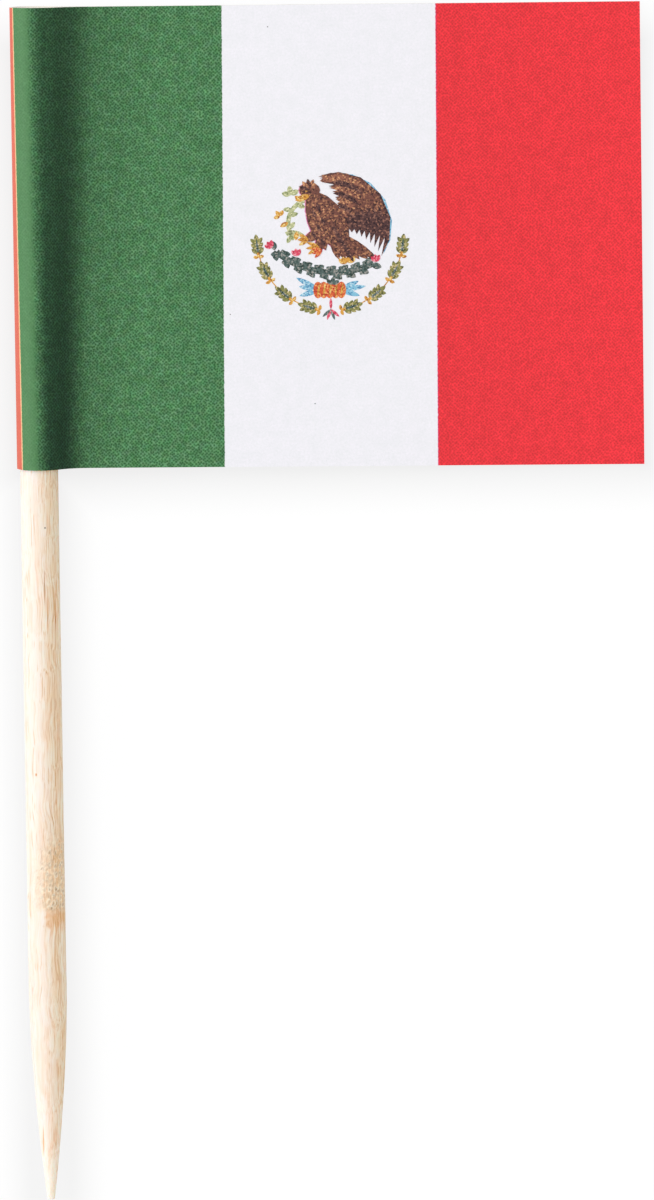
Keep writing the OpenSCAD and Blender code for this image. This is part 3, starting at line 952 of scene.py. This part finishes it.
# %% Laying strokes
def copy_shape(bm, shape):
    """Adds a copy of a kept shape, and returns its vertices and its faces."""
    known_verts = len(bm.verts)
    known_faces = len(bm.faces)
    bm.from_mesh(shape)
    bm.verts.ensure_lookup_table()
    bm.faces.ensure_lookup_table()
    return bm.verts[known_verts:], bm.faces[known_faces:]


def give_ink(faces, ink):
    """Gives faces their ink by its name."""
    for face in faces:
        face.material_index = INK_NAMES.index(ink)


def lay_stroke(bm, shape, start, end, width, ink, level):
    """Lays a plate of ink, stretched from start to end and to a width."""
    verts, faces = copy_shape(bm, shape)
    run = Vector(end) - Vector(start)
    top = LIFT + LEVEL * level
    matrix = (Matrix.Translation((*start, top)) @ Matrix.Rotation(math.atan2(run.y, run.x), 4, "Z")
              @ Matrix.Diagonal((run.length, width, top + SINK, 1)))
    bmesh.ops.transform(bm, matrix=matrix, verts=verts)
    give_ink(faces, ink)


def reach(start, angle, length):
    """The place at an angle in degrees and a distance from a start."""
    turn = math.radians(angle)
    return (start[0] + length * math.cos(turn), start[1] + length * math.sin(turn))


def lay_leaf(bm, start, angle, length, width, ink, level):
    """Lays a pointed stroke at an angle in degrees."""
    lay_stroke(bm, leaf_shape, start, reach(start, angle, length), width, ink, level)


def lay_feather(bm, centre, radius, first, last, width, ink, level):
    """Lays a pointed stroke that is bent round a centre, from one angle to another."""
    verts, faces = copy_shape(bm, leaf_shape)
    top = LIFT + LEVEL * level
    for v in verts:
        place = reach(centre, first + (last - first) * v.co.x, radius + width * v.co.y)
        v.co = (*place, top + (top + SINK) * v.co.z)
    bmesh.ops.recalc_face_normals(bm, faces=faces)
    give_ink(faces, ink)


def lay_disc(bm, centre, width, height, ink, level):
    """Lays a round or oval spot."""
    left = (centre[0] - width / 2, centre[1])
    lay_stroke(bm, disc_shape, left, reach(left, 0, width), height, ink, level)


def lay_arc(bm, centre, radius, first, last, width, ink, level):
    """Lays a thin curved stem, from one angle to another round a centre."""
    known_faces = len(bm.faces)
    top = LIFT + LEVEL * level
    inner = bm.verts.new((*reach(centre, first, radius - width / 2), top))
    outer = bm.verts.new((*reach(centre, first, radius + width / 2), top))
    rib = bm.edges.new((inner, outer))
    bmesh.ops.spin(bm, geom=[inner, outer, rib], cent=(*centre, 0), axis=(0, 0, 1),
                   angle=math.radians(last - first), steps=16)
    bm.faces.ensure_lookup_table()
    made = bmesh.ops.extrude_face_region(bm, geom=bm.faces[known_faces:])["geom"]
    lowered = [item for item in made if isinstance(item, bmesh.types.BMVert)]
    bmesh.ops.translate(bm, verts=lowered, vec=(0, 0, -top - SINK))
    bm.faces.ensure_lookup_table()
    faces = bm.faces[known_faces:]
    bmesh.ops.recalc_face_normals(bm, faces=faces)
    give_ink(faces, ink)


# %% [markdown]
# The bird looks left with its wing raised, and a wedge of white parts the wing from its neck. Long
# feathers hang from the wing round one centre, and rows of shorter ones cover their roots. The
# tail's feathers all end on one line. The pink plate was printed a little to the left and the blue
# one to the right, so thin rims of them show.

# %% Bird
MISFIT = 0.05
UNDER = 0
TAIL = 5
WING = 12
COVERTS = 22
BODY = 42

WING_CENTRE = (0.09, 0.82)
TAIL_ROOT = (0.1, 0.75)
TAIL_LINE = -0.8
HEAD = (-1.12, 3.0)
BROWNS = ("tan_ink", "dark_brown_ink")


def lay_bird(bm):
    """Lays the bird, from its tail to its claws."""
    for k, angle in enumerate((32, 38, 46, 55, 65, 77)):
        length = (TAIL_ROOT[1] - TAIL_LINE) / math.sin(math.radians(angle))
        lay_leaf(bm, TAIL_ROOT, -angle, length, 0.55, "brown_ink", TAIL + k)
    lay_feather(bm, WING_CENTRE, 3.05 + MISFIT, 84, -25, 0.5, "light_blue_ink", UNDER)
    for k in range(9):
        lay_feather(bm, WING_CENTRE, 3.05 - 0.28 * k, 101 - 6 * k, -28 + 3 * k, 0.5,
                    "dark_brown_ink", WING + k)
    for k in range(8):
        lay_feather(bm, WING_CENTRE, 3.0 - 0.3 * k, 104 - 5 * k, 12 + 4 * k, 0.42, "brown_ink", COVERTS + k)
    for k in range(7):
        lay_feather(bm, WING_CENTRE, 2.9 - 0.3 * k, 103 - 5 * k, 50 - 2 * k, 0.3,
                    BROWNS[k % 2], COVERTS + 8 + k)
    lay_leaf(bm, (-0.55, 3.5), 8, 0.9, 0.34, "tan_ink", COVERTS + 16)
    for shift, ink, level in ((-MISFIT, "pink_ink", UNDER + 1), (0, "brown_ink", BODY)):
        lay_stroke(bm, leaf_shape, (-0.8 + shift, 2.95), (0.85 + shift, -0.5), 1.7, ink, level)
        lay_stroke(bm, leaf_shape, (-1.2 + shift, 3.0), (-0.25 + shift, -0.3), 1.05, ink, level + 1)
        lay_leaf(bm, (-0.1 + shift, 0.9), 243, 1.4, 0.7, ink, level + 2)
        lay_leaf(bm, (-0.5 + shift, 0.75), 208, 1.05, 0.55, ink, level + 3)
        lay_disc(bm, (HEAD[0] + shift, HEAD[1]), 1.15, 0.85, ink, level + 4)
    for k in range(12):
        root = (-0.98 + 0.24 * (k % 3), 2.5 - 0.19 * k)
        lay_leaf(bm, root, -68, 0.5, 0.2, BROWNS[k % 2], BODY + 5 + k)
    for k in range(6):
        lay_leaf(bm, (0.1 + 0.16 * k, 1.1 - 0.27 * k), -62, 0.75, 0.22, "dark_brown_ink", BODY + 5 + k)
    for k in range(4):
        lay_leaf(bm, HEAD, 70 + 30 * k, 0.62, 0.24, BROWNS[k % 2], BODY + 17 + k)
    lay_leaf(bm, (-1.1, 2.72), 199, 0.85, 0.34, "gold_ink", BODY + 18)
    lay_disc(bm, (-1.3, 2.98), 0.14, 0.14, "gold_ink", BODY + 19)
    for k in range(3):
        lay_leaf(bm, (-0.6, -0.1), 160 + 26 * k, 0.75, 0.2, "gold_ink", BODY + 16 + k)
        lay_leaf(bm, (-1.2, 0.3), 150 + 30 * k, 0.6, 0.2, "gold_ink", BODY + 19 + k)
        lay_leaf(bm, (-0.45, -0.25), 175 + 26 * k, 0.6, 0.2, "orange_ink", BODY + 22 + k)


# %% [markdown]
# In its claw the bird holds a sprig, pale and half golden, that curls up to its beak.

# %% Sprig
def lay_sprig(bm):
    """Lays the curled sprig left of the bird."""
    stem = (-1.0, 1.2)
    lay_arc(bm, stem, 1.3, 100, 222, 0.24, "sprig_ink", 1)
    lay_arc(bm, (-2.05, -0.05), 0.75, 20, 120, 0.24, "sprig_ink", 1)
    for k in range(9):
        angle = 98 + 16 * k
        outward = 30 if k % 2 else -145
        lay_leaf(bm, reach(stem, angle, 1.3), angle + outward, 0.5, 0.26,
                 "gold_ink" if k in (1, 5, 8) else "sprig_ink", 3 + k)
    for k in range(3):
        lay_leaf(bm, (-2.15, 2.75), 30 + 70 * k, 0.5, 0.3, "sprig_ink", 12 + k)
        lay_leaf(bm, (-2.75, 1.6), 60 + 70 * k, 0.36, 0.22, "gold_ink", 12 + k)


# %% [markdown]
# The garland is a row of dark leaves that point left and right in turn, with red blossoms at its
# ends. Below it a knotted ribbon, and below that the wreath: four sprays of leaves a side, with
# golden berries between them, tied at the bottom.

# %% Garland and ribbon
GARLAND = (0.2, 3.4)
GARLAND_R = 4.9
# Each bloom: its angle round the garland's centre in degrees, and its ink
BLOOMS = ((226, "red_ink"), (243, "red_ink"), (298, "red_ink"), (277, "gold_ink"), (282, "gold_ink"))


def lay_garland(bm):
    """Lays the garland of leaves and its blooms."""
    lay_arc(bm, GARLAND, GARLAND_R, 230, 296, 0.34, "dark_green_ink", 0)
    for k in range(17):
        angle = 228.5 + 4.1 * k
        root = reach(GARLAND, angle, GARLAND_R)
        lay_leaf(bm, root, angle + 90 + (38 if k % 2 else -38), 0.6, 0.36, "dark_green_ink", 2 + k)
        lay_leaf(bm, root, angle - 90 + (38 if k % 2 else -38), 0.5, 0.32, "dark_green_ink", 20 + k)
    for angle, ink in BLOOMS:
        bloom = reach(GARLAND, angle, GARLAND_R - (0.0 if angle in (226, 298) else 0.42))
        for k in range(3):
            lay_leaf(bm, bloom, 65 + 35 * k + (30 if angle == 226 else 0), 0.42, 0.24, ink, 40 + k)


def lay_ribbon(bm):
    """Lays the knotted ribbon with its ends."""
    for turn, ends in ((180, (152, 170, 196)), (0, (8, 25, -16))):
        root = reach((-0.06, -2.45), turn, 0.55)
        for k, angle in enumerate(ends):
            lay_leaf(bm, root, angle, 1.15 + 0.3 * (k == 0), 0.3, "light_blue_ink", k)
    for k in range(5):
        lay_disc(bm, (-0.7 + 0.32 * k, -2.45), 0.52, 0.92, "orange_ink", 5 + k)
        lay_leaf(bm, (-0.72 + 0.32 * k, -2.8), 82, 0.75, 0.13, "gold_ink", 11 + k)
    for k in range(3):
        lay_leaf(bm, (0.1, -2.15), 30 + 55 * k, 0.42, 0.24, "dark_green_ink", 17 + k)


# %% Wreath
WREATH = (-0.03, 0.45)
WREATH_R = 4.0
SPRAYS = (17, 39, 62, 83)
# Each end of the tie at the bottom: its angle in degrees, and its ink
TIE = ((250, "red_ink"), (290, "dark_green_ink"), (222, "dark_green_ink"), (318, "red_ink"),
       (90, "red_ink"))


def lay_spray(bm, root, heading):
    """Lays three pairs of small leaves along a stem, and one leaf at its end."""
    for k in range(3):
        node = reach(root, heading, 0.27 * k - 0.45)
        for bend in (-44, 44):
            lay_leaf(bm, node, heading + bend, 0.48, 0.23, "leaf_green_ink", 2 + 2 * k + (bend > 0))
    lay_leaf(bm, reach(root, heading, 0.1), heading, 0.55, 0.26, "leaf_green_ink", 8)
    lay_leaf(bm, reach(root, heading, -0.5), heading, 0.9, 0.12, "dark_green_ink", 9)


def lay_wreath(bm):
    """Lays both halves of the wreath, and the tie at its foot."""
    for side in (-1, 1):
        lay_arc(bm, WREATH, WREATH_R, 270 + 8 * side, 270 + 80 * side, 0.06, "gold_ink", 0)
        for around in SPRAYS:
            angle = 270 + side * around
            root = reach(WREATH, angle, WREATH_R)
            heading = angle + side * 90
            lay_spray(bm, root, heading)
            for k in range(3):
                berry = reach(root, heading, -0.62)
                lay_leaf(bm, berry, heading + 80 * (k - 1), 0.3, 0.18, "gold_ink", 10 + k)
    for k, (angle, ink) in enumerate(TIE):
        lay_leaf(bm, (0, -3.5), angle, 0.62, 0.16, ink, 10 + k)


# %% [markdown]
# The same emblem is printed on both leaves, each the right way round for its own side. It is made
# flat, moved to its stripe, given the leaf's own wave and laid down with the sheet. The front also
# has three specks of dirt that were on the press.

# %% Emblem pieces
# Middle of the emblem: down from the flag's top, and out from the stick's axis on either leaf
EMBLEM_DOWN = 13.15 * MM
FRONT_OUT = 16.1 * MM
BACK_OUT = 14.6 * MM
TURNED_OVER = Matrix.Rotation(math.pi, 4, "Y")
FRONT_AT = Matrix.Translation((FRONT_OUT, FLAG_TOP_Y - EMBLEM_DOWN, PAPER))
BACK_AT = Matrix.Translation((BACK_OUT, FLAG_TOP_Y - EMBLEM_DOWN, -PAPER)) @ TURNED_OVER
SPECKS = ((-3.35, 11.9), (-5.5, -3.75), (-0.9, -8.65))

for name, at in (("front_emblem", FRONT_AT), ("back_emblem", BACK_AT)):
    emblem = bmesh.new()
    lay_sprig(emblem)
    lay_bird(emblem)
    lay_garland(emblem)
    lay_ribbon(emblem)
    lay_wreath(emblem)
    if at is FRONT_AT:
        for speck in SPECKS:
            lay_disc(emblem, speck, 0.07, 0.06, "dark_green_ink", 0)
    upright = Matrix.Rotation(-PRINT_SKEW if at is FRONT_AT else PRINT_SKEW, 4, "Z")
    bmesh.ops.transform(emblem, matrix=at @ upright @ Matrix.Scale(MM, 4), verts=emblem.verts[:])
    for v in emblem.verts:
        v.co.z += leaf_wave(v.co.x, v.co.y)
    bmesh.ops.transform(emblem, matrix=LAY_DOWN, verts=emblem.verts[:])
    make_piece(name, emblem, ink_materials)

# %% [markdown]
# ## Table and light
# The picture was taken on a white table in a white room, with one soft lamp low on the left. The
# lamp gives the bright strip on the fold and part of the dark valley behind it, where painted shade
# deepens it, and the white walls keep the shadows open. Lamp and walls are set so that a colour lit
# by them comes out about as it is written. The table is seen mostly as plain white and a little as
# lit, so the lamp's shadow stays faint. What grounds the part is the grey that lies close round it,
# where it keeps the light of the room off the table. The paper is too thin to cast that here, so a
# shadow is painted into the table's white there, deeper the nearer it is to the flag and to the
# stick. Past the head there is none, because more light falls in from that side.

# %% White table
SEEN_LIT = 0.05
TABLE_SHOWN = 1.005
table_white, tree, shader = start_material("white_table", roughness=0.9, ior=1.45, specular=0.0)
output = tree.nodes["Material Output"]
rays = add(tree, "ShaderNodeLightPath")
seen = add(tree, "ShaderNodeMath", {"operation": "MAXIMUM"}, {
    0: rays.outputs["Is Camera Ray"], 1: rays.outputs["Is Glossy Ray"]}).outputs[0]
seen_all = add(tree, "ShaderNodeMath", {"operation": "MAXIMUM"}, {
    0: seen, 1: rays.outputs["Is Transmission Ray"]}).outputs[0]
lit_colour = add(tree, "ShaderNodeMix", {"data_type": "RGBA"}, {
    0: seen_all, 6: srgb("#f2f2f2"), 7: (SEEN_LIT, SEEN_LIT, SEEN_LIT, 1.0)}).outputs[2]
tree.links.new(lit_colour, shader.inputs["Base Color"])

# The painted shadow ends this far before the head
HEAD_CLEAR = Vector((0, 2.4, 0)) * MM
# Each footprint: its box, how deep the painted shadow is beside it, and how far it reaches in millimetres
FOOTPRINTS = (
    (flag_low, flag_high - HEAD_CLEAR, 0.125, 2.9),
    (pick_low, pick_high - HEAD_CLEAR, 0.105, 2.2),
)
place = add(tree, "ShaderNodeTexCoord").outputs["Object"]
painted_shadow = 0.0
for low, high, deep, far in FOOTPRINTS:
    centre = (low + high) / 2
    half = (high - low) / 2
    away = add(tree, "ShaderNodeVectorMath", {"operation": "SUBTRACT"}, {0: place, 1: centre}).outputs[0]
    mirrored = add(tree, "ShaderNodeVectorMath", {"operation": "ABSOLUTE"}, {0: away}).outputs[0]
    past = add(tree, "ShaderNodeVectorMath", {"operation": "SUBTRACT"}, {0: mirrored, 1: half}).outputs[0]
    outside = add(tree, "ShaderNodeVectorMath", {"operation": "MAXIMUM"}, {0: past, 1: (0, 0, 0)}).outputs[0]
    distance = add(tree, "ShaderNodeVectorMath", {"operation": "LENGTH"}, {0: outside}).outputs["Value"]
    near = add(tree, "ShaderNodeMapRange", {}, {
        "Value": distance, "From Min": far * MM, "From Max": 0.0}).outputs[0]
    curved = add(tree, "ShaderNodeMath", {"operation": "POWER"}, {0: near, 1: 1.5}).outputs[0]
    painted_shadow_here = add(tree, "ShaderNodeMath", {"operation": "MULTIPLY"}, {0: curved, 1: deep}).outputs[0]
    painted_shadow = add(tree, "ShaderNodeMath", {"operation": "MAXIMUM"}, {0: painted_shadow_here, 1: painted_shadow}).outputs[0]
plain = add(tree, "ShaderNodeMath", {"operation": "SUBTRACT"}, {
    0: TABLE_SHOWN - SEEN_LIT, 1: painted_shadow}).outputs[0]
glow_share = add(tree, "ShaderNodeMath", {"operation": "MULTIPLY"}, {0: seen_all, 1: plain}).outputs[0]
glow = add(tree, "ShaderNodeEmission", {}, {"Strength": glow_share}).outputs[0]
lit = add(tree, "ShaderNodeAddShader", {}, {0: shader.outputs[0], 1: glow}).outputs[0]
tree.links.new(lit, output.inputs["Surface"])

table_bm = bmesh.new()
bmesh.ops.create_grid(table_bm, x_segments=1, y_segments=1, size=1.0)
table_mesh = bpy.data.meshes.new("table")
table_bm.to_mesh(table_mesh)
table_bm.free()
table_mesh.materials.append(table_white)
table = bpy.data.objects.new("table", table_mesh)
bpy.context.scene.collection.objects.link(table)
table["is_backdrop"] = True
print("%s of %d nodes, with %d footprints" % (table_white.name, len(tree.nodes), len(FOOTPRINTS)))

# %% Lamp and walls
WALLS = 0.765
LAMP_SIZE = 0.5
LAMP_WATTS = 3.05
LAMP_ROUND = math.radians(162)
LAMP_UP = math.radians(36)
LAMP_FAR = 0.8

world = bpy.data.worlds.new("white_walls")
bpy.context.scene.world = world
world.use_nodes = True
world.node_tree.nodes["Background"].inputs["Color"].default_value = (1, 1, 1, 1)
world.node_tree.nodes["Background"].inputs["Strength"].default_value = WALLS

lamp = bpy.data.objects.new("key_lamp", bpy.data.lights.new("key_lamp", "AREA"))
lamp.data.size = LAMP_SIZE
lamp.data.energy = LAMP_WATTS
lamp.location = LAMP_FAR * Vector((
    math.cos(LAMP_UP) * math.cos(LAMP_ROUND), math.cos(LAMP_UP) * math.sin(LAMP_ROUND), math.sin(LAMP_UP)))
lamp.rotation_euler = (-lamp.location).to_track_quat("-Z", "Y").to_euler()
bpy.context.scene.collection.objects.link(lamp)
print("lamp of %.2f W, walls at %.3f" % (LAMP_WATTS, WALLS))

# %% Colour and the finished frame
bpy.context.scene.view_settings.view_transform = "Standard"

low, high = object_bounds()
print("finished size in millimetres:", [round(d / MM, 2) for d in high - low])
